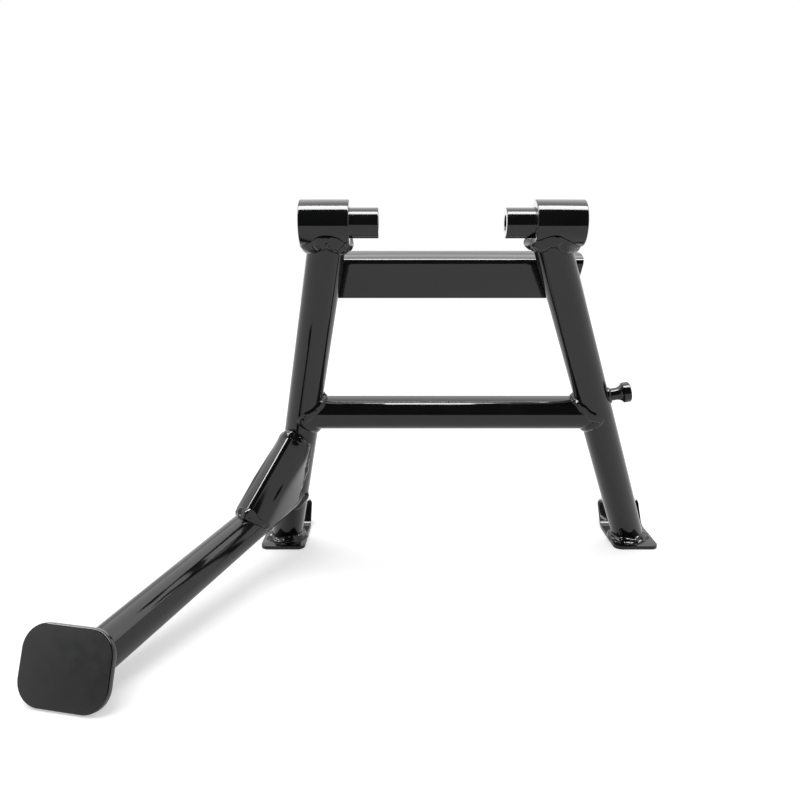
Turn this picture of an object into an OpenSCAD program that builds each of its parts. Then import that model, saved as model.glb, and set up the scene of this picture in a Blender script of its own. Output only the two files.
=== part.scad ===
// Motorcycle centre stand, standing on its two feet and the edge of its pedal.
// Origin at the middle of the pivot axis. +X runs along that axis to the wide leg, +Y away from the pedal,
// +Z up. Millimetres.

/* [Stance] */
// Height of the pivot axis above the floor
pivot_height = 332; // [310:1:350]
// How far the feet stand behind the pivot axis
foot_setback = 124; // [110:1:135]

/* [Tubes] */
// Outer diameter of the legs, the cross tube and the lever
tube_d = 32; // [30:0.5:34]
// Wall of these tubes
tube_wall = 2.6; // [1.6:0.1:4]

/* [Pivots] */
// Distance over the outer ends of the two pivot bosses
boss_span = 235; // [232:1:245]
// Outer diameter of a boss
boss_d = 38; // [36:0.5:42]
// Length of a boss
boss_len = 41; // [38:0.5:46]
// Outer diameter of a pivot sleeve
sleeve_d = 25; // [22:0.5:27]
// Length of a pivot sleeve
sleeve_len = 65; // [55:1:80]
// Bore of a sleeve for the pivot bolt
bolt_bore = 12.4; // [10:0.1:16]

/* [Legs] */
// Left leg: distance of its top from the middle
left_top_x = 93; // [88:0.5:97]
// Left leg: distance of its foot from the middle
left_foot_x = 158; // [140:1:170]
// Right leg: distance of its top from the middle
right_top_x = 86.5; // [84:0.5:97]
// Right leg: distance of its foot from the middle
right_foot_x = 213.5; // [190:0.5:225]

/* [Cross members] */
// Drop of the lower cross tube from the pivot axis, measured down the legs
cross_tube_drop = 189; // [170:1:200]
// Drop of the plate's fold from the pivot axis, measured down the legs
plate_drop = 39; // [36:0.5:48]
// Height of the plate
plate_h = 37; // [30:1:44]
// Depth of its top flange
plate_flange = 21; // [15:1:28]
// Thickness of the plate
plate_t = 4; // [3:0.5:5]
// Reach of the plate to the left of the middle
plate_left = 113; // [108:1:116]
// Reach of the plate to the right of the middle
plate_right = 127; // [122:1:130]

/* [Feet] */
// Width of a foot plate
foot_w = 46; // [42:1:54]
// Thickness of a foot plate
foot_t = 4; // [3:0.5:5]
// Foot plate ahead of the leg's axis
foot_front = 30; // [27:1:38]
// Height of the bent-up heel
heel_h = 28; // [20:1:34]

/* [Lever] */
// Height of the lever's root on the left leg
root_height = 65; // [60:1:72]
// Distance of the pedal from the middle, to the left
pedal_x = 268; // [250:1:285]
// Distance of the pedal ahead of the pivot axis
pedal_reach = 171; // [155:1:185]
// Width of the pedal
pedal_w = 72; // [64:1:80]
// Height of the pedal
pedal_h = 58; // [54:1:66]
// Thickness of the pedal
pedal_t = 5; // [4:0.5:6]
// Radius of the pedal's corners
pedal_r = 19; // [12:0.5:24]
// Angle by which the pedal's face turns to the left
pedal_turn = 12.5; // [5:0.5:20]
// Angle by which the pedal's face leans back
pedal_tilt = 22; // [15:0.5:28]

/* [Saddle] */
// Sheet thickness of the saddle over the lever's joint
saddle_t = 3; // [2:0.5:4]
// Height of the saddle's own axis on the leg, above the lever's root
saddle_rise = 63; // [58:1:68]
// Distance along the lever at which the saddle ends
saddle_reach = 79; // [72:1:88]

/* [Spring post] */
// Place of the post down the right leg, as a part of the leg's length
post_place = 0.487; // [0.42:0.005:0.6]
// Length of the post beyond the leg
post_len = 20; // [16:0.5:26]
// Diameter of the post's neck
post_neck_d = 12; // [10:0.5:14]
// Diameter of the post's head
post_head_d = 19.5; // [17:0.5:24]

/* [Welds] */
// Leg length of the weld beads
bead = 4.5; // [3.5:0.1:5]
// Height of the ripples on the beads, as a part of the leg length
ripple = 0.09; // [0:0.01:0.15]

/* [Hidden] */
$fn = 96;

PAINT = [0.10, 0.11, 0.11];
STEEL = [0.22, 0.22, 0.23];

R = tube_d / 2;
// Tubes are coped a hair clear of the tube that they meet, and the weld bridges it
COPE_GAP = 0.02;
RUNNING_CLEARANCE = 0.05;
CHAMFER = 1;
// Gap under a bead, larger than the error of its straight steps round a tube
BEAD_SEAT = 0.08;
// Length of a cutter that has to pass right through
FAR = 400;

FLOOR = -pivot_height;
LEAN = atan2(foot_setback, pivot_height);
LEG_DROP = norm([foot_setback, pivot_height]);
LEFT_TOP = [-left_top_x, 0, 0];
LEFT_FOOT = [-left_foot_x, foot_setback, FLOOR];
RIGHT_TOP = [right_top_x, 0, 0];
RIGHT_FOOT = [right_foot_x, foot_setback, FLOOR];
LEFT_DIR = unit(LEFT_FOOT - LEFT_TOP);
RIGHT_DIR = unit(RIGHT_FOOT - RIGHT_TOP);
// Directions of the plane in which both legs lie: to the rear of it and up it
REAR = [0, cos(LEAN), sin(LEAN)];
UP = [0, -sin(LEAN), cos(LEAN)];

// A foot plate is flat to this far behind the leg's axis, and its heel is bent up beyond
FOOT_FLAT = 24;
HEEL_R = 14;
HEEL_ANGLE = atan2(4, 3);
HEEL_LEN = (heel_h - HEEL_R * (1 - cos(HEEL_ANGLE))) / sin(HEEL_ANGLE);

// The pedal: facing direction, along its width, and down its face
PEDAL_OUT = [-sin(pedal_turn) * cos(pedal_tilt), -cos(pedal_turn) * cos(pedal_tilt), sin(pedal_tilt)];
PEDAL_SIDE = [cos(pedal_turn), -sin(pedal_turn), 0];
PEDAL_DOWN = cross(PEDAL_SIDE, PEDAL_OUT);
// Its lower edge is on the floor
PEDAL_Z = FLOOR + pedal_h / 2 * cos(pedal_tilt) + pedal_t * sin(pedal_tilt);
PEDAL = [-pedal_x, -pedal_reach, PEDAL_Z];
// The lever meets the back of the pedal a little to the inside of its middle and below it
LEVER_INSIDE = 2.5;
LEVER_BELOW = 6.4;
LEVER_END = PEDAL - PEDAL_OUT * pedal_t + PEDAL_SIDE * LEVER_INSIDE + PEDAL_DOWN * LEVER_BELOW;
ROOT = LEFT_FOOT - LEFT_DIR * (root_height / -LEFT_DIR.z);
LEVER_DIR = unit(LEVER_END - ROOT);

// The plane of the left leg and the lever: across it, and square to the lever in it
ACROSS = unit(cross(LEVER_DIR, LEFT_DIR));
ABOVE = cross(LEVER_DIR, ACROSS);
// The front of the left leg in that plane
FRONT = unit(cross(LEFT_DIR, ACROSS));

SADDLE_TOP = ROOT - LEFT_DIR * saddle_rise;
SADDLE_END = ROOT + LEVER_DIR * saddle_reach;
SADDLE_DIR = unit(SADDLE_END - SADDLE_TOP);
// The sheet is folded a little wider than the tubes
SADDLE_R_IN = R + 0.1;
SADDLE_R = SADDLE_R_IN + saddle_t;
SADDLE_MITRE = unit(SADDLE_DIR + LEVER_DIR);
// The cheeks end a little above the lever's root and slope down along the lever
CHEEK_HEIGHT = 14;
CHEEK_SLOPE = 11.5;
CHEEK_START = ROOT + ABOVE * CHEEK_HEIGHT;
CHEEK_CUT = LEVER_DIR * -sin(CHEEK_SLOPE) - ABOVE * cos(CHEEK_SLOPE);
// The saddle's top edge falls away to both sides of the ridge, which stands above the saddle's own axis
RIDGE_HEIGHT = 11;
TRIM_SLOPE = 40;
TRIM_PEAK = ROOT - LEFT_DIR * (saddle_rise + RIDGE_HEIGHT) + FRONT * R;
function trim_cut(side) = -LEFT_DIR * cos(TRIM_SLOPE) + ACROSS * side * sin(TRIM_SLOPE);

POST_BASE = RIGHT_TOP + (RIGHT_FOOT - RIGHT_TOP) * post_place;
// The post rises a little, so that the spring stays on it
POST_RISE = 10;
POST_DIR = [cos(POST_RISE), 0, sin(POST_RISE)];

function unit(v) = v / norm(v);
// A direction square to z, as close as it can be to the hint
function square_to(z, hint) = unit(hint - z * (hint * z));
// Distance along the line q + s u at which it meets a cylinder round the axis b + t w, on the near side
function to_cylinder(q, u, b, w, r) =
    let (d = q - b, dp = d - w * (d * w), up = u - w * (u * w),
         a = up * up, h = dp * up, c = dp * dp - r * r)
    (-h + sqrt(max(0, h * h - a * c))) / a;

// Puts local z along dir and local x as near to the hint as it can be, with the origin at p
module aim(p, dir, hint = undef) {
    z = unit(dir);
    x = square_to(z, is_undef(hint) ? (abs(z.x) > 0.9 ? [0, 0, 1] : [1, 0, 0]) : hint);
    y = cross(z, x);
    multmatrix([[x.x, y.x, z.x, p.x], [x.y, y.y, z.y, p.y], [x.z, y.z, z.z, p.z], [0, 0, 0, 1]])
        children();
}

module rod(p, q, r) {
    aim(p, q - p) cylinder(r = r, h = norm(q - p));
}

module pipe(p, q, r, wall) {
    aim(p, q - p) difference() {
        cylinder(r = r, h = norm(q - p));
        translate([0, 0, -1]) cylinder(r = r - wall, h = norm(q - p) + 2);
    }
}

// The space on the side of the plane through p to which dir points
module beyond(p, dir) {
    aim(p, dir) translate([-FAR / 2, -FAR / 2, 0]) cube(FAR);
}

// Pivots

module boss(side) {
    outer = side * boss_span / 2;
    color(PAINT) aim([outer, 0, 0], [-side, 0, 0]) turned_tube(
        boss_d / 2, sleeve_d / 2 + RUNNING_CLEARANCE, boss_len);
}

module sleeve(side) {
    outer = side * boss_span / 2;
    color(STEEL) aim([outer, 0, 0], [-side, 0, 0]) turned_tube(sleeve_d / 2, bolt_bore / 2, sleeve_len);
}

module turned_tube(r_out, r_in, len) {
    rotate_extrude() polygon([
        [r_in, 0], [r_out - CHAMFER, 0], [r_out, CHAMFER],
        [r_out, len - CHAMFER], [r_out - CHAMFER, len], [r_in, len]
    ]);
}

// Legs, each coped to its boss and cut flat where it stands on its foot plate

module leg(top, foot) {
    dir = unit(foot - top);
    color(PAINT) difference() {
        pipe(top, foot + dir * 20, R, tube_wall);
        rod([top.x - 60, 0, 0], [top.x + 60, 0, 0], boss_d / 2);
        beyond(foot + [0, 0, foot_t], [0, 0, -1]);
    }
}

// Cross members

module in_leg_plane() {
    rotate([LEAN, 0, 0]) children();
}

function leg_x(top_x, foot_x, drop) = top_x + (foot_x - top_x) * drop / LEG_DROP;

module lower_cross_tube() {
    left = [-leg_x(left_top_x, left_foot_x, cross_tube_drop), 0, -cross_tube_drop];
    right = [leg_x(right_top_x, right_foot_x, cross_tube_drop), 0, -cross_tube_drop];
    color(PAINT) difference() {
        in_leg_plane() pipe(left, right, R, tube_wall);
        rod(LEFT_TOP, LEFT_FOOT, R + COPE_GAP);
        rod(RIGHT_TOP, RIGHT_FOOT, R + COPE_GAP);
    }
}

// Outline of an angle folded from sheet, with the fold at the origin
module fold_outline(down, back, t, r) {
    difference() {
        rounded_angle(down, back, r);
        translate([t, -t]) rounded_angle(down, back, r - t);
    }
}

module rounded_angle(down, back, r) {
    translate([0, -down]) square([back, down - r]);
    translate([r, -down]) square([back - r, down]);
    translate([r, -r]) circle(r);
}

module upper_cross_plate() {
    fold_r = plate_t + 1.5;
    corner_r = 9;
    slant = 7.5;
    color(PAINT) in_leg_plane() translate([0, R + COPE_GAP, -plate_drop]) difference() {
        translate([-plate_left, 0, 0]) rotate([90, 0, 90]) linear_extrude(plate_left + plate_right)
            intersection() {
                fold_outline(plate_h, plate_flange, plate_t, fold_r);
                translate([0, -plate_h]) square([plate_flange, plate_h]);
            }
        translate([plate_right, -1, 0]) rotate([0, slant, 0]) translate([0, 0, -FAR / 2]) cube([60, 60, FAR]);
        translate([plate_right - corner_r - 1, plate_flange - corner_r, -plate_t - 2]) difference() {
            cube([30, 30, plate_t + 4]);
            translate([0, 0, -1]) cylinder(r = corner_r, h = plate_t + 6);
        }
    }
}

// Feet, each bent from a flat bar: a sole, a bend and a heel

module tab(width, len, r) {
    translate([-width / 2, 0]) square([width, len - r]);
    translate([-width / 2 + r, 0]) square([width - 2 * r, len]);
    for (side = [-1, 1]) translate([side * (width / 2 - r), len - r]) circle(r);
}

module foot_plate(foot) {
    corner_r = 8;
    color(PAINT) translate(foot + [0, FOOT_FLAT, 0]) {
        rotate([0, 0, 180]) linear_extrude(foot_t) tab(foot_w, foot_front + FOOT_FLAT, corner_r);
        translate([-foot_w / 2, 0, HEEL_R]) rotate([90, 0, 90]) linear_extrude(foot_w) intersection() {
            difference() {
                circle(HEEL_R);
                circle(HEEL_R - foot_t);
            }
            polygon(HEEL_R * [[0, 0], [0, -2], [2, -2], 2 * [sin(HEEL_ANGLE), -cos(HEEL_ANGLE)]]);
        }
        translate([0, 0, HEEL_R]) rotate([HEEL_ANGLE, 0, 0]) translate([0, 0, -HEEL_R])
            linear_extrude(foot_t) tab(foot_w, HEEL_LEN, corner_r);
    }
}

// Lever and pedal

module lever_tube() {
    color(PAINT) difference() {
        pipe(ROOT, LEVER_END + LEVER_DIR * 30, R, tube_wall);
        rod(LEFT_TOP, LEFT_FOOT, R + COPE_GAP);
        beyond(LEVER_END, PEDAL_OUT);
    }
}

module pedal_outline(inset) {
    r = pedal_r - inset;
    for (x = [-1, 1], y = [-1, 1])
        translate([x * (pedal_w / 2 - pedal_r), y * (pedal_h / 2 - pedal_r)]) circle(r);
    square([pedal_w - 2 * inset, pedal_h - 2 * pedal_r], center = true);
    square([pedal_w - 2 * pedal_r, pedal_h - 2 * inset], center = true);
}

module pedal_plate() {
    step = 0.6;
    color(PAINT) aim(PEDAL, -PEDAL_OUT, PEDAL_SIDE) {
        linear_extrude(step) pedal_outline(step);
        translate([0, 0, step]) linear_extrude(pedal_t - step) pedal_outline(0);
    }
}

// The saddle is a sheet folded round a tube and trimmed to sit on the leg and the lever

module saddle_outline(r) {
    circle(r);
    translate([-r, -90]) square([2 * r, 90]);
}

module lever_saddle() {
    spare = 40;
    color(PAINT) difference() {
        aim(SADDLE_TOP - SADDLE_DIR * spare, SADDLE_DIR, ACROSS)
            linear_extrude(saddle_reach + 2 * spare) difference() {
                saddle_outline(SADDLE_R);
                saddle_outline(SADDLE_R_IN);
            }
        rod(LEFT_TOP, LEFT_FOOT, R + COPE_GAP);
        beyond(ROOT, -FRONT);
        beyond(SADDLE_END, SADDLE_MITRE);
        beyond(CHEEK_START, CHEEK_CUT);
        for (side = [-1, 1]) beyond(TRIM_PEAK, trim_cut(side));
    }
}

// Spring post

module spring_post() {
    neck = post_neck_d / 2;
    head = post_head_d / 2;
    reach = R + post_len;
    flare = 7;
    color(PAINT) difference() {
        aim(POST_BASE, POST_DIR, [0, 0, 1]) rotate_extrude() difference() {
            polygon([
                [0, 0], [neck, 0], [neck, reach - flare - 6], [head, reach - flare + 1], [head, reach - 1.5],
                [head - 1.5, reach], [0, reach]
            ]);
            translate([neck + flare, reach - flare - 6]) circle(flare);
        }
        rod(RIGHT_TOP, RIGHT_FOOT, R + COPE_GAP);
    }
}

// Weld beads. A bead follows a seam between two surfaces: at each stop it has a point on the seam and the
// outward normals of the branch and of the main surface. Its section runs out along both surfaces and
// bulges between them.

STOPS = 42;
function size_at(i) = bead * (1 + ripple * sin(i * 120) + 0.5 * ripple * sin(i * 37));

function section(p, along, nb, nm, w) =
    let (tb = unit(cross(nb, along)), tm = unit(cross(along, nm)), out = unit(nb + nm),
         a = p + tb * w + nb * BEAD_SEAT, b = p + tm * w + nm * BEAD_SEAT, c = p + out * w * 1.25)
    [p + out * BEAD_SEAT * 1.5, a, for (k = [0.25, 0.5, 0.75]) a * pow(1 - k, 2) + c * 2 * k * (1 - k) + b * k * k, b];

// stops: list of [point, branch normal, main normal], in the order that runs round the branch
module bead(stops, closed = true, scale = 1) {
    n = len(stops);
    m = 6;
    rings = [for (i = [0:n - 1])
        let (before = stops[closed ? (i + n - 1) % n : max(i - 1, 0)][0],
             after = stops[closed ? (i + 1) % n : min(i + 1, n - 1)][0])
        section(stops[i][0], unit(after - before), stops[i][1], stops[i][2], size_at(i) * scale)];
    walls = [for (i = [0:n - (closed ? 1 : 2)], j = [0:m - 1])
        let (a = i * m + j, b = i * m + (j + 1) % m, c = (i + 1) % n * m + j, d = (i + 1) % n * m + (j + 1) % m)
        each [[a, b, d], [a, d, c]]];
    ends = closed ? [] : [[for (j = [m - 1:-1:0]) j], [for (j = [0:m - 1]) (n - 1) * m + j]];
    polyhedron([for (r = rings) each r], concat(walls, ends));
}

// Seam of a round branch from o along u on a round main tube
function round_seam(o, u, r, b, w, main_r, from = 0, to = 360, stops = STOPS, closed = true, ref = [0, 0, 1]) =
    let (x = square_to(u, ref), y = cross(u, x))
    [for (i = [0:stops - (closed ? 1 : 0)])
        let (t = from + (to - from) * i / stops, nb = x * cos(t) + y * sin(t), q = o + nb * r,
             p = q + u * to_cylinder(q, u, b, w, main_r), d = p - b)
        [p, nb, unit(d - w * (d * w))]];

// Seam of a round branch from o along u on a plane through b with the normal w
function flat_seam(o, u, r, b, w, from = 0, to = 360, stops = STOPS, closed = true, ref = [0, 0, 1]) =
    let (x = square_to(u, ref), y = cross(u, x))
    [for (i = [0:stops - (closed ? 1 : 0)])
        let (t = from + (to - from) * i / stops, nb = x * cos(t) + y * sin(t), q = o + nb * r)
        [q + u * (((b - q) * w) / (u * w)), nb, w]];

module boss_weld(top, dir) {
    color(PAINT) bead(round_seam(top, dir, R, [0, 0, 0], [1, 0, 0], boss_d / 2, ref = [1, 0, 0]));
}

module cross_weld(end, dir, top, leg_dir) {
    color(PAINT) bead(round_seam(end, dir, R, top, leg_dir, R + COPE_GAP, ref = UP));
}

module foot_weld(foot, dir) {
    color(PAINT) bead(flat_seam(foot, -dir, R, foot + [0, 0, foot_t], [0, 0, 1], ref = [1, 0, 0]), scale = 1.1);
}

// The bead fills the groove between a leg and the plate behind it, on the inner side of the leg
module plate_weld(top, dir, side) {
    bulge = 6.5;
    start = (plate_drop + 1) / -(dir * UP);
    len = (plate_h - 2) / -(dir * UP);
    color(PAINT) aim(top + dir * start, dir, REAR) linear_extrude(len) difference() {
        translate([R - 3.4, side * 15]) circle(bulge);
        circle(R + COPE_GAP);
        translate([R, -30]) square([30, 60]);
        translate([-60, -30]) square([60, 60]);
    }
}

module lever_root_weld() {
    color(PAINT) bead(round_seam(ROOT, LEVER_DIR, R, LEFT_TOP, LEFT_DIR, R + COPE_GAP,
        from = 82, to = 278, stops = 28, closed = false, ref = ABOVE), closed = false);
}

// The saddle's bead runs up the rear edge of one cheek, over the ridge and down the other cheek
function ridge_stop(angle) =
    let (nm = FRONT * cos(angle) + ACROSS * sin(angle), nb = trim_cut(angle < 0 ? -1 : 1),
         q = ROOT + nm * (R + COPE_GAP))
    [q + LEFT_DIR * (((TRIM_PEAK - q) * nb) / (LEFT_DIR * nb)), nb, nm];

// Stops round the cheek's upper rear corner, and from there down its edge
function cheek_stops(side) =
    let (corner = ridge_stop(side * 90)[0], nm = ACROSS * side, turn_r = 0.4,
         rise = ((CHEEK_START - ROOT) * CHEEK_CUT) / (LEFT_DIR * CHEEK_CUT),
         len = (ROOT + LEFT_DIR * rise - corner) * LEFT_DIR - 2)
    [each [for (t = [0.2:0.2:1])
        let (nb = unit(trim_cut(side) * (1 - t) - FRONT * t)) [corner + square_to(nm, nb) * turn_r, nb, nm]],
     each [for (i = [1:18]) [corner - FRONT * turn_r + LEFT_DIR * len * i / 18, -FRONT, nm]]];

function reversed(list) = [for (i = [len(list) - 1:-1:0]) list[i]];

module saddle_leg_weld() {
    ridge = [for (angle = [88:-8:-88]) ridge_stop(angle)];
    color(PAINT) bead(concat(reversed(cheek_stops(1)), ridge, cheek_stops(-1)), closed = false, scale = 0.9);
}

module saddle_lever_weld() {
    color(PAINT) bead(flat_seam(SADDLE_END, LEVER_DIR, R, SADDLE_END, SADDLE_MITRE,
        from = -86, to = 86, stops = 26, closed = false, ref = ABOVE), closed = false, scale = 0.8);
}

module pedal_weld() {
    color(PAINT) bead(flat_seam(LEVER_END, -LEVER_DIR, R, LEVER_END, -PEDAL_OUT, ref = ABOVE), scale = 0.8);
}

module spring_post_weld() {
    color(PAINT) bead(round_seam(POST_BASE, POST_DIR, post_neck_d / 2, RIGHT_TOP, RIGHT_DIR, R + COPE_GAP,
        stops = 24), scale = 0.55);
}

leg(LEFT_TOP, LEFT_FOOT);  // left_leg_tube
leg(RIGHT_TOP, RIGHT_FOOT);  // right_leg_tube
boss(-1);  // left_pivot_boss
boss(1);  // right_pivot_boss
sleeve(-1);  // left_pivot_sleeve
sleeve(1);  // right_pivot_sleeve
upper_cross_plate();
lower_cross_tube();
foot_plate(LEFT_FOOT);  // left_foot_plate
foot_plate(RIGHT_FOOT);  // right_foot_plate
lever_tube();
lever_saddle();
pedal_plate();
spring_post();
boss_weld(LEFT_TOP, LEFT_DIR);  // left_boss_weld
boss_weld(RIGHT_TOP, RIGHT_DIR);  // right_boss_weld
plate_weld(LEFT_TOP, LEFT_DIR, 1);  // left_plate_weld
plate_weld(RIGHT_TOP, RIGHT_DIR, -1);  // right_plate_weld
cross_weld(LEFT_TOP + LEFT_DIR * cross_tube_drop / -(LEFT_DIR * UP), [1, 0, 0], LEFT_TOP, LEFT_DIR);  // left_cross_weld
cross_weld(RIGHT_TOP + RIGHT_DIR * cross_tube_drop / -(RIGHT_DIR * UP), [-1, 0, 0], RIGHT_TOP, RIGHT_DIR);  // right_cross_weld
foot_weld(LEFT_FOOT, LEFT_DIR);  // left_foot_weld
foot_weld(RIGHT_FOOT, RIGHT_DIR);  // right_foot_weld
lever_root_weld();
saddle_leg_weld();
saddle_lever_weld();
pedal_weld();
spring_post_weld();
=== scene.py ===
# A motorcycle centre stand, welded from tube and folded sheet and painted gloss black.
# It stands on its two feet and its pedal's edge. Metres, in the frame's own axes.
from math import atan2, cos, floor, pi, radians, sin, sqrt

import bmesh
import bpy
from mathutils import Matrix, Vector, noise


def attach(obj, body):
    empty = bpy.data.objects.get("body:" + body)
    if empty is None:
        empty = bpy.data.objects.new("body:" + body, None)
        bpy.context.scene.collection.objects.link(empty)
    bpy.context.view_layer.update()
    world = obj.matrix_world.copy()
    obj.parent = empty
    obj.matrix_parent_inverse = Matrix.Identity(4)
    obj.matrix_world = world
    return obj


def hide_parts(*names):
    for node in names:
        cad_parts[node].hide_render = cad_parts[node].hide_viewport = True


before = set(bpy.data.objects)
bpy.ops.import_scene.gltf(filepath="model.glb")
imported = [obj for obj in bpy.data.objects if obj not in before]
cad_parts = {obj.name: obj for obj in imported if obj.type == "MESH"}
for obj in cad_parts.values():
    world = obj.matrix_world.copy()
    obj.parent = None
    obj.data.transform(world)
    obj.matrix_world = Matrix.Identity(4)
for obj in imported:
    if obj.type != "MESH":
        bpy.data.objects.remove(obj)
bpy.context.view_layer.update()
MM = 0.001

# Stance and tubes
PIVOT_HEIGHT = 332 * MM
FOOT_SETBACK = 124 * MM
TUBE_R = 16 * MM
TUBE_WALL = 2.6 * MM
LEFT_TOP = Vector((-93, 0, 0)) * MM
LEFT_FOOT = Vector((-158, 124, -332)) * MM
RIGHT_TOP = Vector((86.5, 0, 0)) * MM
RIGHT_FOOT = Vector((213.5, 124, -332)) * MM
LEFT_DIR = (LEFT_FOOT - LEFT_TOP).normalized()
RIGHT_DIR = (RIGHT_FOOT - RIGHT_TOP).normalized()
LEAN = atan2(FOOT_SETBACK, PIVOT_HEIGHT)
REAR = Vector((0, cos(LEAN), sin(LEAN)))
UP = Vector((0, -sin(LEAN), cos(LEAN)))
X_AXIS = Vector((1, 0, 0))
Z_AXIS = Vector((0, 0, 1))
FLOOR = Vector((0, 0, -PIVOT_HEIGHT))

# Pivots
BOSS_OUTER_X = 117.5 * MM
BOSS_R = 19 * MM
BOSS_LEN = 41 * MM
SLEEVE_R = 12.5 * MM
SLEEVE_LEN = 65 * MM
SLEEVE_BORE_R = 6.2 * MM
RUNNING_CLEARANCE = 0.05 * MM

# Cross members
CROSS_TUBE_DROP = 189 * MM
PLATE_DROP = 39 * MM
PLATE_H = 37 * MM
PLATE_FLANGE = 21 * MM
PLATE_T = 4 * MM
PLATE_LEFT = 113 * MM
PLATE_RIGHT = 127 * MM
PLATE_SLANT = radians(7.5)
PLATE_CORNER_R = 9 * MM

# Feet
FOOT_W = 46 * MM
FOOT_T = 4 * MM
FOOT_FRONT = 30 * MM
FOOT_FLAT = 24 * MM
FOOT_CORNER_R = 8 * MM
HEEL_H = 28 * MM
HEEL_R = 14 * MM
HEEL_ANGLE = atan2(4, 3)
HEEL_LEN = (HEEL_H - HEEL_R * (1 - cos(HEEL_ANGLE))) / sin(HEEL_ANGLE)

# Pedal and lever
PEDAL_TURN = radians(12.5)
PEDAL_TILT = radians(22)
PEDAL_W = 72 * MM
PEDAL_H = 58 * MM
PEDAL_T = 5 * MM
PEDAL_R = 19 * MM
PEDAL_OUT = Vector((-sin(PEDAL_TURN) * cos(PEDAL_TILT), -cos(PEDAL_TURN) * cos(PEDAL_TILT), sin(PEDAL_TILT)))
PEDAL_SIDE = Vector((cos(PEDAL_TURN), -sin(PEDAL_TURN), 0))
PEDAL_DOWN = PEDAL_SIDE.cross(PEDAL_OUT)
PEDAL_Z = -PIVOT_HEIGHT + PEDAL_H / 2 * cos(PEDAL_TILT) + PEDAL_T * sin(PEDAL_TILT)
PEDAL = Vector((-268 * MM, -171 * MM, PEDAL_Z))
LEVER_END = PEDAL - PEDAL_OUT * PEDAL_T + PEDAL_SIDE * 2.5 * MM + PEDAL_DOWN * 6.4 * MM
ROOT = LEFT_FOOT - LEFT_DIR * (65 * MM / -LEFT_DIR.z)
LEVER_DIR = (LEVER_END - ROOT).normalized()
ACROSS = LEVER_DIR.cross(LEFT_DIR).normalized()
ABOVE = LEVER_DIR.cross(ACROSS)
FRONT = LEFT_DIR.cross(ACROSS).normalized()

# The saddle: a sheet folded on a ridge over the joint of lever and leg. Its places are given across the plane
# of the two tubes, out from the line between them, and along that line.
SADDLE_TOP = ROOT - LEFT_DIR * 63 * MM
SADDLE_DIR = (ROOT + LEVER_DIR * 79 * MM - SADDLE_TOP).normalized()
SADDLE_OUT = SADDLE_DIR.cross(ACROSS)
SADDLE_T = 3 * MM
RIDGE_TOP = Vector((0, 27.5, 8.5)) * MM
RIDGE_END = Vector((0, 24.5, 88)) * MM
BEND_R = 5 * MM
# Outer edge of a cheek: down the front of the leg to the lower corner, then along the side of the lever
CHEEK_EDGE = [Vector(p) * MM for p in ((16.3, 7.5, 3.5), (16.2, -3, 13.5), (16.0, -15.5, 23), (16.7, -25, 35),
                                       (17.8, -33, 48), (18.4, -22, 63), (18.2, -7, 88))]
CORNER_STOP = 4

# Spring post
POST_BASE = RIGHT_TOP.lerp(RIGHT_FOOT, 0.487)
POST_DIR = Vector((cos(radians(10)), 0, sin(radians(10))))
POST_NECK_R = 6 * MM
POST_HEAD_R = 9.75 * MM
POST_REACH = TUBE_R + 20 * MM

ROUND_STEPS = 128


# Materials

def shader(name):
    material = bpy.data.materials.new(name)
    material.use_nodes = True
    nodes = material.node_tree.nodes
    return material, nodes, material.node_tree.links, nodes["Principled BSDF"]


def object_noise(nodes, links, scale, detail, roughness=0.5):
    place = nodes.new("ShaderNodeTexCoord")
    texture = nodes.new("ShaderNodeTexNoise")
    texture.inputs["Scale"].default_value = scale
    texture.inputs["Detail"].default_value = detail
    texture.inputs["Roughness"].default_value = roughness
    links.new(place.outputs["Object"], texture.inputs["Vector"])
    return texture.outputs["Fac"]


def ranged(nodes, links, value, low, high, from_low=0.3, from_high=0.7):
    node = nodes.new("ShaderNodeMapRange")
    node.inputs["From Min"].default_value = from_low
    node.inputs["From Max"].default_value = from_high
    node.inputs["To Min"].default_value = low
    node.inputs["To Max"].default_value = high
    links.new(value, node.inputs["Value"])
    return node.outputs["Result"]


def bumped(nodes, links, height, distance, strength=1.0, under=None):
    node = nodes.new("ShaderNodeBump")
    node.inputs["Distance"].default_value = distance
    node.inputs["Strength"].default_value = strength
    links.new(height, node.inputs["Height"])
    if under is not None:
        links.new(under, node.inputs["Normal"])
    return node.outputs["Normal"]


def tinted(nodes, links, value, dark, pale):
    ramp = nodes.new("ShaderNodeValToRGB")
    ramp.color_ramp.elements[0].position = 0.35
    ramp.color_ramp.elements[0].color = (*dark, 1)
    ramp.color_ramp.elements[1].position = 0.65
    ramp.color_ramp.elements[1].color = (*pale, 1)
    links.new(value, ramp.inputs["Fac"])
    return ramp.outputs["Color"]


def gloss_paint(name, peel, shine):
    """Black enamel over steel: deep gloss, the faint ripple of sprayed paint and its long waves."""
    material, nodes, links, bsdf = shader(name)
    tone = object_noise(nodes, links, 35, 3)
    links.new(tinted(nodes, links, tone, (0.0034, 0.0036, 0.0037), (0.0050, 0.0053, 0.0052)),
              bsdf.inputs["Base Color"])
    haze = object_noise(nodes, links, 60, 4)
    links.new(ranged(nodes, links, haze, shine, shine + 0.05), bsdf.inputs["Roughness"])
    waves = bumped(nodes, links, object_noise(nodes, links, 55, 1), 0.05 * MM)
    links.new(bumped(nodes, links, object_noise(nodes, links, 420, 1), peel, under=waves),
              bsdf.inputs["Normal"])
    bsdf.inputs["IOR"].default_value = 1.5
    return material


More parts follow.
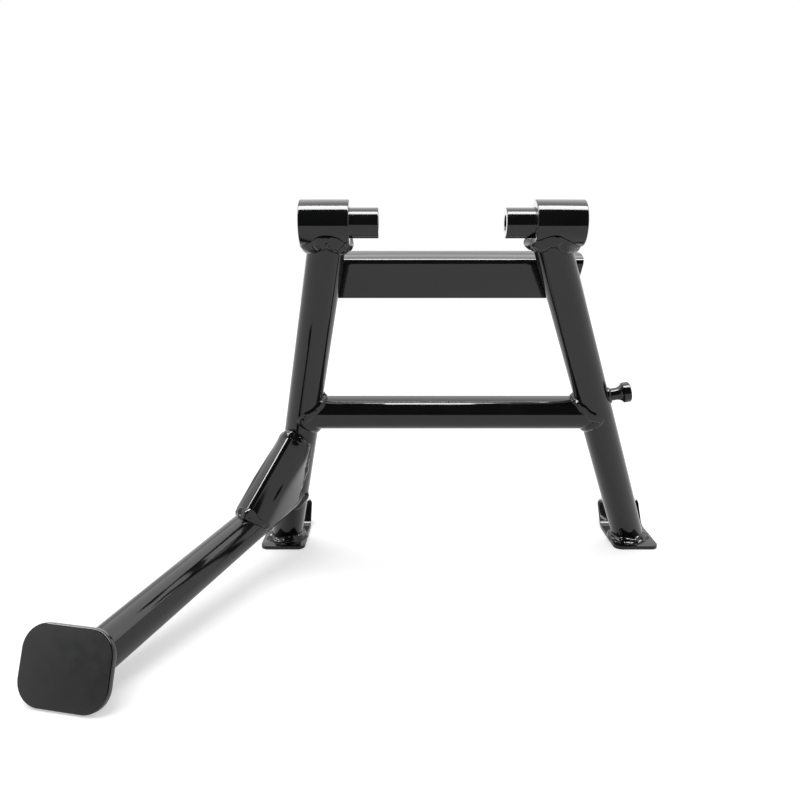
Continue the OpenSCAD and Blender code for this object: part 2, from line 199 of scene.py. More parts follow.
def satin_paint():
    """The pedal's tread: the same paint, worn to an even satin."""
    material, nodes, links, bsdf = shader("satin_black_tread")
    tone = object_noise(nodes, links, 45, 4)
    links.new(tinted(nodes, links, tone, (0.0068, 0.0072, 0.0072), (0.0092, 0.0097, 0.0095)),
              bsdf.inputs["Base Color"])
    rub = object_noise(nodes, links, 120, 5, 0.6)
    links.new(ranged(nodes, links, rub, 0.42, 0.56), bsdf.inputs["Roughness"])
    links.new(bumped(nodes, links, object_noise(nodes, links, 1500, 3), 0.02 * MM), bsdf.inputs["Normal"])
    bsdf.inputs["IOR"].default_value = 1.45
    return material


def turned_steel():
    """Bare end faces off the lathe, with fine rings round the pivot axis."""
    material, nodes, links, bsdf = shader("turned_steel_end")
    place = nodes.new("ShaderNodeTexCoord")
    rings = nodes.new("ShaderNodeTexWave")
    rings.wave_type = "RINGS"
    rings.rings_direction = "X"
    rings.inputs["Scale"].default_value = 420
    rings.inputs["Distortion"].default_value = 0.6
    rings.inputs["Detail"].default_value = 2
    links.new(place.outputs["Object"], rings.inputs["Vector"])
    stain = object_noise(nodes, links, 160, 4)
    links.new(tinted(nodes, links, stain, (0.50, 0.50, 0.49), (0.66, 0.66, 0.65)), bsdf.inputs["Base Color"])
    links.new(ranged(nodes, links, stain, 0.18, 0.34), bsdf.inputs["Roughness"])
    links.new(bumped(nodes, links, rings.outputs["Fac"], 0.012 * MM), bsdf.inputs["Normal"])
    bsdf.inputs["Metallic"].default_value = 1.0
    return material


PAINT = gloss_paint("gloss_black_enamel", 0.006 * MM, 0.055)
BEAD_PAINT = gloss_paint("gloss_black_on_weld", 0.012 * MM, 0.06)
OXIDE = gloss_paint("polished_black_oxide", 0.003 * MM, 0.08)
TREAD = satin_paint()
STEEL = turned_steel()


# Building

def square_to(direction, hint):
    return (hint - direction * hint.dot(direction)).normalized()


def axes_at(place, z, hint):
    """Matrix that puts local z along z and local x as near to the hint as it can be."""
    z = z.normalized()
    x = square_to(z, hint)
    y = z.cross(x)
    return Matrix((x, y, z)).transposed().to_4x4().copy(), place


def put(bm, place, z, hint):
    turn, at = axes_at(place, z, hint)
    bmesh.ops.transform(bm, matrix=Matrix.Translation(at) @ turn, verts=bm.verts)


def piece(bm, name, node, materials, body="stand", sharp=35):
    bmesh.ops.recalc_face_normals(bm, faces=bm.faces)
    mesh = bpy.data.meshes.new(name)
    bm.to_mesh(mesh)
    bm.free()
    for material in materials:
        mesh.materials.append(material)
    mesh.shade_smooth()
    mesh.set_sharp_from_angle(angle=radians(sharp))
    made = bpy.data.objects.new(name, mesh)
    bpy.context.scene.collection.objects.link(made)
    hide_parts(node)
    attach(made, body)
    return made


def chain(bm, points, closed):
    verts = [bm.verts.new(p) for p in points]
    return [bm.edges.new(pair) for pair in zip(verts, verts[1:] + (verts[:1] if closed else []))]


def of_type(geometry, kind):
    return [g for g in geometry if isinstance(g, kind)]


def edge_angle_over(bm, limit):
    """Edges sharper than the limit."""
    return [e for e in bm.edges if len(e.link_faces) == 2 and e.calc_face_angle(0) > limit]


def soften(bm, edges, width, segments=2):
    bmesh.ops.bevel(bm, geom=edges, offset=width, offset_type="OFFSET", affect="EDGES", segments=segments,
                    profile=0.5, material=-1, clamp_overlap=True)


def to_cylinder(point, direction, base, axis, radius):
    """Distance along the direction at which a line leaves a cylinder."""
    away = point - base
    flat = away - axis * away.dot(axis)
    run = direction - axis * direction.dot(axis)
    a, h, c = run.dot(run), flat.dot(run), flat.dot(flat) - radius * radius
    return (-h + sqrt(max(0.0, h * h - a * c))) / a


def to_plane(point, direction, base, normal):
    return (base - point).dot(normal) / direction.dot(normal)


def ruled_wall(outer, inner, direction, low, high, closed, middle=()):
    """A wall between two outlines, drawn along one direction. low and high give the two ends of the line
    through each point, and middle adds square rings at set distances."""
    bm = bmesh.new()
    place = bm.verts.layers.int.new("place")
    edges = chain(bm, outer, closed) + chain(bm, inner, closed)
    starts = [*outer, *inner]
    for i, v in enumerate(bm.verts):
        v[place] = i
    bmesh.ops.bridge_loops(bm, edges=edges)
    first = bm.verts[:]
    cap = bm.faces[:]
    for distance in [*middle, None]:
        grown = bmesh.ops.extrude_face_region(bm, geom=cap)["geom"]
        cap = of_type(grown, bmesh.types.BMFace)
        for v in of_type(grown, bmesh.types.BMVert):
            start = starts[v[place]]
            v.co = start + direction * (high(start) if distance is None else distance)
    for v in first:
        start = starts[v[place]]
        v.co = start + direction * low(start)
    return bm


def ring(centre, axis, radius, hint):
    x = square_to(axis, hint)
    y = axis.cross(x)
    turns = [2 * pi * i / ROUND_STEPS for i in range(ROUND_STEPS)]
    return [centre + (x * cos(t) + y * sin(t)) * radius for t in turns]


def tube(name, node, start, direction, length, low, high):
    """Round tube whose ends are shaped by low and high, with square rings a little way in from them."""
    hint = X_AXIS if abs(direction.x) < 0.9 else Z_AXIS
    outer, inner = (ring(start, direction, r, hint) for r in (TUBE_R, TUBE_R - TUBE_WALL))
    inset = 26 * MM
    bm = ruled_wall(outer, inner, direction, low, high, True, middle=(inset, length / 2, length - inset))
    return piece(bm, name, node, [PAINT])


def turned(profile, softened, place, axis, steps=ROUND_STEPS):
    """Revolves a closed outline of (radius, distance along the axis), with its named corners rounded."""
    bm = bmesh.new()
    edges = chain(bm, [Vector((r, 0, z)) for r, z in profile], True)
    bm.verts.ensure_lookup_table()
    for corners, width in softened:
        verts = [v for v in bm.verts if any((v.co - Vector((profile[i][0], 0, profile[i][1]))).length < 1e-7
                                            for i in corners)]
        bmesh.ops.bevel(bm, geom=verts, offset=width, offset_type="OFFSET", affect="VERTICES", segments=4,
                        profile=0.5, material=-1)
    bmesh.ops.spin(bm, geom=bm.verts[:] + bm.edges[:], cent=(0, 0, 0), axis=(0, 0, 1), angle=2 * pi,
                   steps=steps, use_merge=True)
    bmesh.ops.remove_doubles(bm, verts=bm.verts, dist=1e-7)
    put(bm, place, axis, Z_AXIS if abs(axis.x) > 0.9 else X_AXIS)
    return bm


def bare_ends(made, axis, places):
    """Gives the flat faces that look along the axis at these places the bare steel material."""
    for face in made.data.polygons:
        at = face.center.dot(axis)
        if abs(face.normal.dot(axis)) > 0.99 and any(abs(at - p) < 0.1 * MM for p in places):
            face.material_index = 1


def make_boss(side, name):
    r_in = SLEEVE_R + RUNNING_CLEARANCE
    profile = [(r_in, 0), (BOSS_R, 0), (BOSS_R, BOSS_LEN), (r_in, BOSS_LEN)]
    bm = turned(profile, [((1, 2), 0.9 * MM), ((0, 3), 0.4 * MM)], X_AXIS * side * BOSS_OUTER_X, X_AXIS * -side)
    made = piece(bm, name, name, [PAINT, STEEL])
    bare_ends(made, X_AXIS * -side, [BOSS_LEN - BOSS_OUTER_X])


def make_sleeve(side, name, body):
    profile = [(SLEEVE_BORE_R, 0), (SLEEVE_R, 0), (SLEEVE_R, SLEEVE_LEN), (SLEEVE_BORE_R, SLEEVE_LEN)]
    bm = turned(profile, [((1, 2), 0.8 * MM), ((0, 3), 0.8 * MM)], X_AXIS * side * BOSS_OUTER_X, X_AXIS * -side)
    made = piece(bm, name, name, [OXIDE, STEEL], body=body)
    bare_ends(made, X_AXIS * -side, [-BOSS_OUTER_X, SLEEVE_LEN - BOSS_OUTER_X])


def make_leg(name, top, foot):
    direction = (foot - top).normalized()
    sole = FLOOR + Z_AXIS * FOOT_T
    tube(name, name, top, direction, (foot - top).length,
         lambda p: to_cylinder(p, direction, Vector(), X_AXIS, BOSS_R),
         lambda p: to_plane(p, direction, sole, Z_AXIS))


def leg_point(top, direction, drop):
    return top + direction * drop / -direction.dot(UP)


def make_cross_tube():
    left = leg_point(LEFT_TOP, LEFT_DIR, CROSS_TUBE_DROP)
    right = leg_point(RIGHT_TOP, RIGHT_DIR, CROSS_TUBE_DROP)
    length = (right - left).length
    tube("lower_cross_tube", "lower_cross_tube", left, X_AXIS, length,
         lambda p: to_cylinder(p, X_AXIS, LEFT_TOP, LEFT_DIR, TUBE_R),
         lambda p: length - to_cylinder(p + X_AXIS * length, -X_AXIS, RIGHT_TOP, RIGHT_DIR, TUBE_R))


def make_lever():
    tube("lever_tube", "lever_tube", ROOT, LEVER_DIR, (LEVER_END - ROOT).length,
         lambda p: to_cylinder(p, LEVER_DIR, LEFT_TOP, LEFT_DIR, TUBE_R),
         lambda p: to_plane(p, LEVER_DIR, LEVER_END, PEDAL_OUT))


def make_plate():
    """Folded angle behind the legs: outline of the section, drawn out sideways, cut and rounded."""
    bm = bmesh.new()
    section = [(0, 0), (PLATE_FLANGE, 0), (PLATE_FLANGE, -PLATE_T), (PLATE_T, -PLATE_T), (PLATE_T, -PLATE_H),
               (0, -PLATE_H)]
    chain(bm, [Vector((-PLATE_LEFT, y, z)) for y, z in section], True)
    bm.verts.ensure_lookup_table()
    outer_fold, inner_fold = bm.verts[0], bm.verts[3]
    for corner, radius in ((outer_fold, PLATE_T + 1.5 * MM), (inner_fold, 1.5 * MM)):
        bmesh.ops.bevel(bm, geom=[corner], offset=radius, offset_type="OFFSET", affect="VERTICES", segments=8,
                        profile=0.5, material=-1)
    bmesh.ops.contextual_create(bm, geom=bm.edges)
    grown = bmesh.ops.extrude_face_region(bm, geom=bm.faces[:])["geom"]
    bmesh.ops.translate(bm, verts=of_type(grown, bmesh.types.BMVert), vec=X_AXIS * (PLATE_LEFT + PLATE_RIGHT))
    cut = bmesh.ops.bisect_plane(bm, geom=bm.verts[:] + bm.edges[:] + bm.faces[:], dist=1e-6,
                                 plane_co=(PLATE_RIGHT, 0, 0), plane_no=(cos(PLATE_SLANT), 0, -sin(PLATE_SLANT)),
                                 clear_outer=True)
    bmesh.ops.contextual_create(bm, geom=of_type(cut["geom_cut"], bmesh.types.BMEdge))
    bmesh.ops.recalc_face_normals(bm, faces=bm.faces)
    rear_corner = [e for e in bm.edges if all(abs(v.co.y - PLATE_FLANGE) < 1e-6 and v.co.x > 0 for v in e.verts)
                   and abs(e.verts[0].co.z - e.verts[1].co.z) > PLATE_T / 2]
    soften(bm, rear_corner, PLATE_CORNER_R, 10)
    soften(bm, edge_angle_over(bm, radians(50)), 0.5 * MM)
    bmesh.ops.transform(bm, matrix=Matrix.Rotation(LEAN, 4, "X") @ Matrix.Translation(
        Vector((0, TUBE_R + 0.02 * MM, -PLATE_DROP))), verts=bm.verts)
    piece(bm, "upper_cross_plate", "upper_cross_plate", [PAINT], sharp=30)


def heel_bend(v):
    """Bends a flat bar: x across, y along, z through its thickness. It bends up beyond y = 0."""
    arc = HEEL_R * HEEL_ANGLE
    if v.y <= 0:
        return v.copy()
    turn = min(v.y / arc, 1.0) * HEEL_ANGLE
    r = HEEL_R - v.z
    bent = Vector((v.x, r * sin(turn), HEEL_R - r * cos(turn)))
    return bent + Vector((0, cos(HEEL_ANGLE), sin(HEEL_ANGLE))) * max(0.0, v.y - arc)


def make_foot(name, foot):
    bm = bmesh.new()
    arc = HEEL_R * HEEL_ANGLE
    front, back = -FOOT_FRONT - FOOT_FLAT, arc + HEEL_LEN
    half = FOOT_W / 2
    chain(bm, [Vector(p) for p in ((-half, front, 0), (half, front, 0), (half, back, 0), (-half, back, 0))], True)
    bmesh.ops.bevel(bm, geom=bm.verts[:], offset=FOOT_CORNER_R, offset_type="OFFSET", affect="VERTICES",
                    segments=8, profile=0.5, material=-1)
    bmesh.ops.contextual_create(bm, geom=bm.edges)
    steps = 12
    for i in range(steps + 1):
        bmesh.ops.bisect_plane(bm, geom=bm.verts[:] + bm.edges[:] + bm.faces[:], dist=1e-7,
                               plane_co=(0, arc * i / steps, 0), plane_no=(0, 1, 0))
    grown = bmesh.ops.extrude_face_region(bm, geom=bm.faces[:])["geom"]
    bmesh.ops.translate(bm, verts=of_type(grown, bmesh.types.BMVert), vec=(0, 0, FOOT_T))
    bmesh.ops.recalc_face_normals(bm, faces=bm.faces)
    soften(bm, edge_angle_over(bm, radians(60)), 0.5 * MM)
    for v in bm.verts:
        v.co = heel_bend(v.co)
    bmesh.ops.translate(bm, verts=bm.verts, vec=foot + Vector((0, FOOT_FLAT, 0)))
    piece(bm, name, name, [PAINT], sharp=30)


def make_pedal():
    bm = bmesh.new()
    w, h = PEDAL_W / 2, PEDAL_H / 2
    chain(bm, [Vector(p) for p in ((-w, -h, 0), (w, -h, 0), (w, h, 0), (-w, h, 0))], True)
    bmesh.ops.bevel(bm, geom=bm.verts[:], offset=PEDAL_R, offset_type="OFFSET", affect="VERTICES", segments=20,
                    profile=0.5, material=-1)
    bmesh.ops.contextual_create(bm, geom=bm.edges)
    grown = bmesh.ops.extrude_face_region(bm, geom=bm.faces[:])["geom"]
    bmesh.ops.translate(bm, verts=of_type(grown, bmesh.types.BMVert), vec=(0, 0, PEDAL_T))
    bmesh.ops.recalc_face_normals(bm, faces=bm.faces)
    front = [e for e in edge_angle_over(bm, radians(60)) if e.verts[0].co.z < PEDAL_T / 2]
    soften(bm, front, 0.9 * MM, 3)
    soften(bm, [e for e in edge_angle_over(bm, radians(60)) if e.verts[0].co.z > PEDAL_T / 2], 0.5 * MM)
    put(bm, PEDAL, -PEDAL_OUT, PEDAL_SIDE)
    made = piece(bm, "pedal_plate", "pedal_plate", [TREAD, PAINT], sharp=30)
    for face in made.data.polygons:
        face.material_index = 0 if face.normal.dot(PEDAL_OUT) > 0.999 else 1


def saddle_place(p):
    return SADDLE_TOP + ACROSS * p.x + SADDLE_OUT * p.y + SADDLE_DIR * p.z


def along_points(points, t):
    """Place at t, from 0 to 1, on a smooth line through the points."""
    at = t * (len(points) - 1)
    i = min(int(at), len(points) - 2)
    f = at - i
    p0, p1, p2, p3 = (points[min(max(j, 0), len(points) - 1)] for j in range(i - 1, i + 3))
    return (p1 * 2 + (p2 - p0) * f + (p0 * 2 - p1 * 5 + p2 * 4 - p3) * f ** 2
            + (p1 * 3 - p0 - p2 * 3 + p3) * f ** 3) / 2


def cheek_edge(t):
    """Place on the cheek's edge. The lower corner is kept, with a small round."""
    corner = CORNER_STOP / (len(CHEEK_EDGE) - 1)
    if t <= corner:
        return along_points(CHEEK_EDGE[:CORNER_STOP + 1], t / corner)
    return along_points(CHEEK_EDGE[CORNER_STOP:], (t - corner) / (1 - corner))


def saddle_section(t):
    """Points of the saddle's outer side from one cheek's edge over the ridge to the other's."""
    ridge, edge = RIDGE_TOP.lerp(RIDGE_END, t), cheek_edge(t)
    half = [ridge + Vector((BEND_R * sin(BEND_HALF * i / BEND_STEPS), BEND_R * (cos(BEND_HALF * i / BEND_STEPS) - 1), 0))
            for i in range(BEND_STEPS)]
    start = ridge + Vector((BEND_R * sin(BEND_HALF), BEND_R * (cos(BEND_HALF) - 1), 0))
    raised = max(0.0, 1 - t / 0.2) ** 2
    shoulder = Vector((17.7 - 1.6 * raised, 7.5 + 6 * raised, 0)) * MM
    shoulder.z = edge.z * 0.5 + ridge.z * 0.5
    knee = start.lerp(shoulder, 0.5) + Vector((1.3, 0.9, 0)) * MM
    line = [start, knee, shoulder, edge]
    half += [along_points(line, i / FLANK_STEPS) for i in range(FLANK_STEPS + 1)]
    return [saddle_place(Vector((-p.x, p.y, p.z))) for p in reversed(half[1:])] + [saddle_place(p) for p in half]


BEND_HALF = radians(44)
BEND_STEPS = 10
FLANK_STEPS = 26
SADDLE_STEPS = 72


def swept(bm, sections, closed_section):
    """Draws a chain of edges on from section to section, and returns its first and last edges."""
    place = bm.verts.layers.int.new("place")
    first = edges = chain(bm, sections[0], closed_section)
    for i, v in enumerate(bm.verts):
        v[place] = i
    for points in sections[1:]:
        grown = bmesh.ops.extrude_edge_only(bm, edges=edges)["geom"]
        edges = of_type(grown, bmesh.types.BMEdge)
        for v in of_type(grown, bmesh.types.BMVert):
            v.co = points[v[place]]
    return first, edges


def make_saddle():
    bm = bmesh.new()
    swept(bm, [saddle_section(i / SADDLE_STEPS) for i in range(SADDLE_STEPS + 1)], False)
    bmesh.ops.recalc_face_normals(bm, faces=bm.faces)
    outward = 1 if sum(face.normal.dot(SADDLE_OUT) * face.calc_area() for face in bm.faces) > 0 else -1
    bmesh.ops.solidify(bm, geom=bm.faces[:], thickness=SADDLE_T * outward)
    bmesh.ops.recalc_face_normals(bm, faces=bm.faces)
    soften(bm, edge_angle_over(bm, radians(55)), 0.4 * MM)
    piece(bm, "lever_saddle", "lever_saddle", [PAINT], sharp=45)


def make_spring_post():
    flare = 7 * MM
    base = TUBE_R - 2 * MM
    foot_of_flare = POST_REACH - flare - 6 * MM
    swing = [(POST_NECK_R + flare * (1 - cos(radians(a))), foot_of_flare + flare * sin(radians(a)))
             for a in range(0, 63, 6)]
    profile = [(0, base), (POST_NECK_R, base), *swing, (POST_HEAD_R, POST_REACH - 6 * MM),
               (POST_HEAD_R, POST_REACH), (0, POST_REACH)]
    last = len(profile)
    bm = turned(profile, [((last - 2,), 1.5 * MM), ((last - 3,), 0.5 * MM)], POST_BASE, POST_DIR, 72)
    piece(bm, "spring_post", "spring_post", [PAINT], sharp=30)


# Weld beads. A stop is a section's two toes, the peak between them and its root in the corner.

def stop_between(point, along, branch_normal, main_normal, leg):
    branch_side = branch_normal.cross(along).normalized()
    main_side = along.cross(main_normal).normalized()
    out = (branch_normal + main_normal).normalized()
    return point + branch_side * leg, point + out * leg, point + main_side * leg, point


def stops_along(seam, closed, leg):
    """Stops for a seam of (point, branch normal, main normal)."""
    n = len(seam)
    stops = []
    for i, (point, branch_normal, main_normal) in enumerate(seam):
        before = seam[(i - 1) % n if closed else max(i - 1, 0)][0]
        after = seam[(i + 1) % n if closed else min(i + 1, n - 1)][0]
        stops.append(stop_between(point, (after - before).normalized(), branch_normal, main_normal, leg))
    return stops


def round_seam(origin, direction, radius, base, axis, main_radius, count, start=0, end=360, hint=Z_AXIS):
    """Seam of a round branch on a round main tube."""
    x = square_to(direction, hint)
    y = direction.cross(x)
    full = end - start >= 360
    seam = []
    for i in range(count if full else count + 1):
        t = radians(start + (end - start) * i / count)
        normal = x * cos(t) + y * sin(t)
        line = origin + normal * radius
        point = line + direction * to_cylinder(line, direction, base, axis, main_radius)
        away = point - base
        seam.append((point, normal, (away - axis * away.dot(axis)).normalized()))
    return seam


def flat_seam(origin, direction, radius, base, plane, count, start=0, end=360, hint=Z_AXIS):
    """Seam of a round branch on a plane."""
    x = square_to(direction, hint)
    y = direction.cross(x)
    full = end - start >= 360
    seam = []
    for i in range(count if full else count + 1):
        t = radians(start + (end - start) * i / count)
        normal = x * cos(t) + y * sin(t)
        line = origin + normal * radius
        seam.append((line + direction * to_plane(line, direction, base, plane), normal, plane))
    return seam


ACROSS_STEPS = 9
RIPPLE_PITCH = 3.1 * MM


def bead_section(stop, run, seed, end_fade, crown, lumps):
    """Points round one section: a low crown with a crescent ripple between the toes, closed at the root."""
    toe_a, peak, toe_b, root = stop
    swell = 1 + (0.10 + lumps) * noise.noise(Vector((run / (9 * MM), seed, 0.5)))
    lean = 0.25 * noise.noise(Vector((run / (13 * MM), seed + 7, 1.5)))
    out = (peak - root) * end_fade
    points = []
    for k in range(ACROSS_STEPS):
        t = k / (ACROSS_STEPS - 1)
        a = root + (toe_a - root) * swell * (1 + lean) * end_fade
        b = root + (toe_b - root) * swell * (1 - lean) * end_fade
        curve = a * (1 - t) ** 2 + (root + out * crown * swell) * 2 * t * (1 - t) + b * t ** 2
        phase = run / RIPPLE_PITCH + 0.55 * (2 * t - 1) ** 2 + 0.4 * noise.noise(Vector((run / (6 * MM), seed, 3)))
        crest = phase - floor(phase)
        ripple = (1 - crest) ** 0.8 - 0.5
        lump = noise.noise(Vector((run / (5 * MM), t * 2.2, seed + 20)))
        lift = (0.045 * ripple + lumps * lump) * 4 * t * (1 - t) * end_fade
        points.append(curve + (peak - root) * lift)
    sink = (peak - root).normalized() * -0.25 * MM
    points[0] += sink
    points[-1] += sink
    points.append(root - (peak - root) * 0.12)
    return points


def bead(name, stops, closed, seed, fade=6 * MM, crown=1.05, lumps=0.11):
    """Sweeps a weld bead along its stops. An open bead runs out over a short length at each end."""
    runs = [0.0]
    for before, after in zip(stops, stops[1:]):
        runs.append(runs[-1] + (after[3] - before[3]).length)
    total = runs[-1]

    def fade_at(run):
        near_end = min(run, total - run) / fade
        return 1.0 if closed or near_end >= 1 else 0.18 + 0.82 * sqrt(max(0.0, 1 - (1 - near_end) ** 2))

    bm = bmesh.new()
    first, edges = swept(bm, [bead_section(stop, run, seed, fade_at(run), crown, lumps)
                              for stop, run in zip(stops, runs)], True)
    if closed:
        bmesh.ops.bridge_loops(bm, edges=first + edges)
    else:
        bmesh.ops.contextual_create(bm, geom=first)
        bmesh.ops.contextual_create(bm, geom=edges)
    return piece(bm, name, name, [BEAD_PAINT], sharp=60)


BEAD_STEPS = 260


def make_boss_bead(name, top, direction, seed):
    seam = round_seam(top, direction, TUBE_R, Vector(), X_AXIS, BOSS_R, BEAD_STEPS, hint=X_AXIS)
    bead(name, stops_along(seam, True, 6.6 * MM), True, seed, crown=0.86, lumps=0.17)


def make_cross_bead(name, top, leg_dir, direction, seed):
    end = leg_point(top, leg_dir, CROSS_TUBE_DROP)
    seam = round_seam(end, direction, TUBE_R, top, leg_dir, TUBE_R, BEAD_STEPS, hint=UP)
    bead(name, stops_along(seam, True, 4.6 * MM), True, seed, crown=0.92, lumps=0.15)


def make_foot_bead(name, foot, direction, seed):
    seam = flat_seam(foot, -direction, TUBE_R, foot + Z_AXIS * FOOT_T, Z_AXIS, BEAD_STEPS, hint=X_AXIS)
    bead(name, stops_along(seam, True, 6.2 * MM), True, seed, crown=0.80, lumps=0.26)


def make_plate_bead(name, top, direction, side, seed):
    """Fills the groove between a leg and the plate behind it, on the leg's inner side."""
    inward = X_AXIS * side
    inward = square_to(direction, inward)
    rear = direction.cross(inward) * (1 if direction.cross(inward).dot(REAR) > 0 else -1)
    count = 70
    start = (PLATE_DROP + 1.5 * MM) / -direction.dot(UP)
    end = (PLATE_DROP + PLATE_H - 1.5 * MM) / -direction.dot(UP)
    stops = []
    for i in range(count + 1):
        centre = top + direction * (start + (end - start) * i / count)
        on_leg = centre + (rear * cos(radians(42)) + inward * sin(radians(42))) * TUBE_R
        on_plate = centre + rear * (TUBE_R + 0.1 * MM) + inward * 14 * MM
        root = centre + rear * (TUBE_R - 0.6 * MM) + inward * 6 * MM
        peak = root + ((on_leg + on_plate) / 2 - root) * 1.32
        stops.append((on_leg, peak, on_plate, root))
    bead(name, stops, False, seed, fade=3 * MM, lumps=0.15)


def sheet_stop(edge, into_sheet, base, axis, away, reach):
    """Stop of a bead from the edge of the saddle's sheet down to a round tube, which it meets further away."""
    arm = edge - base
    normal = (arm - axis * arm.dot(axis)).normalized()
    drop = (arm - axis * arm.dot(axis)).length - TUBE_R
    foot = edge - normal * min(drop, 9.5 * MM)
    away = square_to(normal, away)
    toe = foot + away * reach
    sheet_toe = edge + into_sheet.normalized() * 1.2 * MM
    return sheet_toe, (edge + toe) / 2 + (normal + away).normalized() * 1.5 * MM, toe, foot - normal * 0.6 * MM


def make_saddle_beads():
    """One bead runs up a cheek's rear edge, over the top edge and down the other cheek; one round the end."""
    corner = CORNER_STOP / (len(CHEEK_EDGE) - 1)
    steps = 80

    def rear_stops(side):
        stops = []
        for i in range(1, steps + 1):
            p = cheek_edge(corner * i / steps)
            edge = saddle_place(Vector((p.x * side, p.y, p.z)))
            turn = min(1.0, i / 6)
            away = (-FRONT * turn - LEFT_DIR * (1 - turn)).normalized()
            stops.append(sheet_stop(edge, saddle_place(RIDGE_END) - edge, LEFT_TOP, LEFT_DIR, away, 4.2 * MM))
        return stops

    top = [sheet_stop(p, SADDLE_DIR, LEFT_TOP, LEFT_DIR, -LEFT_DIR, 4.2 * MM) for p in saddle_section(0)]
    bead("saddle_leg_weld", [*reversed(rear_stops(-1)), *top, *rear_stops(1)], False, 31, lumps=0.16)
    end = [sheet_stop(p, -SADDLE_DIR, ROOT, LEVER_DIR, LEVER_DIR, 6.0 * MM) for p in saddle_section(1)]
    bead("saddle_lever_weld", end, False, 37, fade=3 * MM, lumps=0.3)


def make_other_beads():
    root = round_seam(ROOT, LEVER_DIR, TUBE_R, LEFT_TOP, LEFT_DIR, TUBE_R, 170, 82, 278, hint=ABOVE)
    bead("lever_root_weld", stops_along(root, False, 4.5 * MM), False, 41)
    rim = flat_seam(LEVER_END, -LEVER_DIR, TUBE_R, LEVER_END, -PEDAL_OUT, BEAD_STEPS, hint=ABOVE)
    bead("pedal_weld", stops_along(rim, True, 3.6 * MM), True, 43)
    neck = round_seam(POST_BASE, POST_DIR, POST_NECK_R, RIGHT_TOP, RIGHT_DIR, TUBE_R, 110)
    bead("spring_post_weld", stops_along(neck, True, 2.4 * MM), True, 47)


make_leg("left_leg_tube", LEFT_TOP, LEFT_FOOT)
make_leg("right_leg_tube", RIGHT_TOP, RIGHT_FOOT)
make_boss(-1, "left_pivot_boss")
make_boss(1, "right_pivot_boss")
make_sleeve(-1, "left_pivot_sleeve", "left_sleeve")
make_sleeve(1, "right_pivot_sleeve", "right_sleeve")
make_cross_tube()
make_lever()
make_plate()
make_foot("left_foot_plate", LEFT_FOOT)
make_foot("right_foot_plate", RIGHT_FOOT)
make_pedal()
make_saddle()
make_spring_post()
make_boss_bead("left_boss_weld", LEFT_TOP, LEFT_DIR, 3)
make_boss_bead("right_boss_weld", RIGHT_TOP, RIGHT_DIR, 5)
make_cross_bead("left_cross_weld", LEFT_TOP, LEFT_DIR, X_AXIS, 11)
make_cross_bead("right_cross_weld", RIGHT_TOP, RIGHT_DIR, -X_AXIS, 13)
make_foot_bead("left_foot_weld", LEFT_FOOT, LEFT_DIR, 17)
make_foot_bead("right_foot_weld", RIGHT_FOOT, RIGHT_DIR, 19)
make_plate_bead("left_plate_weld", LEFT_TOP, LEFT_DIR, 1, 23)
make_plate_bead("right_plate_weld", RIGHT_TOP, RIGHT_DIR, -1, 29)
make_saddle_beads()
make_other_beads()


# Studio

def panel(name, corners, strength, seen_by_camera=False, lights_floor=False):
    """A flat sheet of light or backing, given by its four corners."""
    bm = bmesh.new()
    chain(bm, [Vector(c) for c in corners], True)
    bmesh.ops.contextual_create(bm, geom=bm.edges)
    mesh = bpy.data.meshes.new(name)
    bm.to_mesh(mesh)
    bm.free()
    made = bpy.data.objects.new(name, mesh)
    bpy.context.scene.collection.objects.link(made)
    material = bpy.data.materials.new(name)
    material.use_nodes = True
    nodes, links = material.node_tree.nodes, material.node_tree.links
    nodes.clear()
    glow = nodes.new("ShaderNodeEmission")
    glow.inputs["Strength"].default_value = strength
    out = nodes.new("ShaderNodeOutputMaterial")
    links.new(glow.outputs["Emission"], out.inputs["Surface"])
    mesh.materials.append(material)
    made.visible_camera = seen_by_camera
    made.visible_diffuse = lights_floor
    made.visible_shadow = False
    return made


def make_floor():
    made = panel("floor", [(-4, -1.25, -PIVOT_HEIGHT), (4, -1.25, -PIVOT_HEIGHT), (4, 3, -PIVOT_HEIGHT),
                           (-4, 3, -PIVOT_HEIGHT)], 0, seen_by_camera=True, lights_floor=True)
    nodes, links = made.data.materials[0].node_tree.nodes, made.data.materials[0].node_tree.links
    out = next(n for n in nodes if n.type == "OUTPUT_MATERIAL")
    glow = next(n for n in nodes if n.type == "EMISSION")
    paper = nodes.new("ShaderNodeBsdfDiffuse")
    paper.inputs["Color"].default_value = (0.8, 0.8, 0.8, 1)
    path = nodes.new("ShaderNodeLightPath")
    camera = nodes.new("ShaderNodeMath")
    camera.operation = "MULTIPLY"
    camera.inputs[1].default_value = 0.42
    links.new(path.outputs["Is Camera Ray"], camera.inputs[0])
    seen = nodes.new("ShaderNodeMath")
    seen.operation = "MULTIPLY_ADD"
    seen.inputs[1].default_value = 0.2
    links.new(path.outputs["Is Glossy Ray"], seen.inputs[0])
    links.new(camera.outputs[0], seen.inputs[2])
    links.new(seen.outputs[0], glow.inputs["Strength"])
    both = nodes.new("ShaderNodeAddShader")
    links.new(paper.outputs["BSDF"], both.inputs[0])
    links.new(glow.outputs["Emission"], both.inputs[1])
    links.new(both.outputs["Shader"], out.inputs["Surface"])


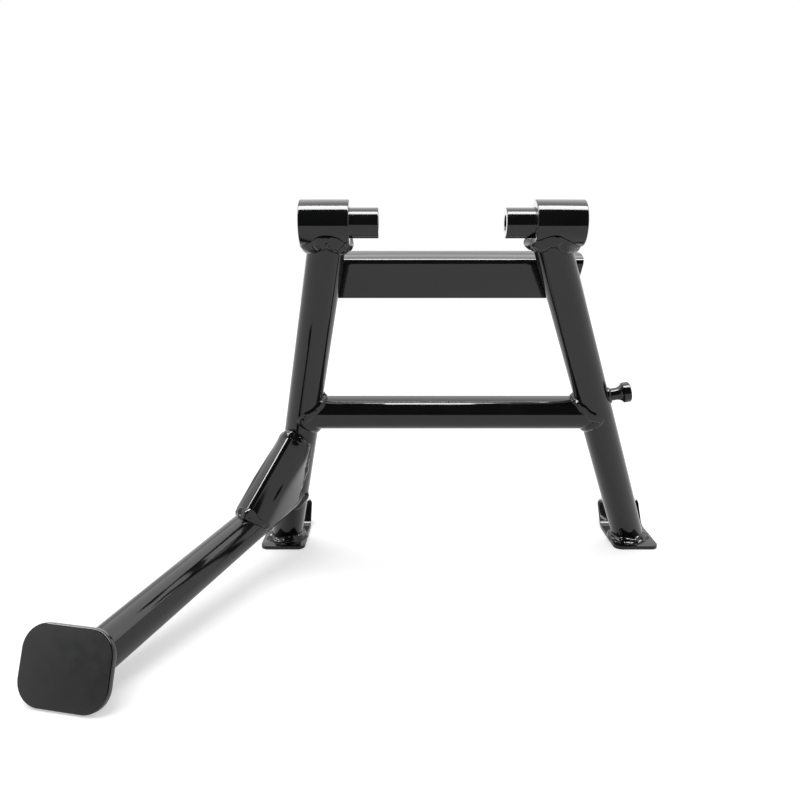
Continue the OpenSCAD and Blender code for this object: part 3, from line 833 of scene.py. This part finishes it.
def make_studio():
    make_floor()
    panel("backdrop", [(-4, 2.6, -PIVOT_HEIGHT), (4, 2.6, -PIVOT_HEIGHT), (4, 2.6, 1.9), (-4, 2.6, 1.9)], 1.3)
    panel("rear_ceiling", [(-2.5, 0.10, 1.45), (2.5, 0.10, 1.45), (2.5, 2.6, 1.9), (-2.5, 2.6, 1.9)], 2.4)
    panel("softbox", [(-1.4, -0.52, 1.3), (1.4, -0.52, 1.3), (1.4, 0.03, 1.3), (-1.4, 0.03, 1.3)], 20)
    panel("strip", [(-1.55, -0.75, 1.1), (-1.05, -0.75, 1.1), (-1.05, 0.2, 1.1), (-1.55, 0.2, 1.1)], 20)
    for side in (-1, 1):
        panel("side_wall", [(1.7 * side, -1.7, -PIVOT_HEIGHT), (1.7 * side, 2.6, -PIVOT_HEIGHT),
                            (1.7 * side, 2.6, 0.95), (1.7 * side, -1.7, 0.95)], 1.0)
    lamp = bpy.data.lights.new("key", "SUN")
    lamp.angle = radians(42)
    lamp.energy = 1.3
    key = bpy.data.objects.new("key", lamp)
    key.location = (-0.25, -0.15, 1.35)
    key.rotation_euler = (Vector(key.location) - Vector((0, 0, 0))).to_track_quat("Z", "Y").to_euler()
    key.visible_glossy = False
    bpy.context.scene.collection.objects.link(key)
    world = bpy.data.worlds.new("studio")
    bpy.context.scene.world = world
    world.use_nodes = True
    nodes, links = world.node_tree.nodes, world.node_tree.links
    nodes.clear()
    path = nodes.new("ShaderNodeLightPath")
    room, white, fill = (nodes.new("ShaderNodeBackground") for _ in range(3))
    room.inputs["Color"].default_value = (0.035, 0.035, 0.035, 1)
    white.inputs["Color"].default_value = (1, 1, 1, 1)
    fill.inputs["Color"].default_value = (0.62, 0.62, 0.62, 1)
    glossy, camera = (nodes.new("ShaderNodeMixShader") for _ in range(2))
    out = nodes.new("ShaderNodeOutputWorld")
    links.new(path.outputs["Is Glossy Ray"], glossy.inputs["Fac"])
    links.new(fill.outputs["Background"], glossy.inputs[1])
    links.new(room.outputs["Background"], glossy.inputs[2])
    links.new(path.outputs["Is Camera Ray"], camera.inputs["Fac"])
    links.new(glossy.outputs["Shader"], camera.inputs[1])
    links.new(white.outputs["Background"], camera.inputs[2])
    links.new(camera.outputs["Shader"], out.inputs["Surface"])
    bpy.context.scene.view_settings.view_transform = "Standard"


def make_camera():
    data = bpy.data.cameras.new("camera")
    data.sensor_width = 36
    data.lens = 33.75
    data.clip_start, data.clip_end = 0.01, 30
    made = bpy.data.objects.new("camera", data)
    made.location = (-34.8 * MM, -638.8 * MM, -7.8 * MM)
    made.rotation_euler = (radians(90 - 12.577), 0, 0)
    bpy.context.scene.collection.objects.link(made)
    bpy.context.scene.camera = made


make_studio()
make_camera()
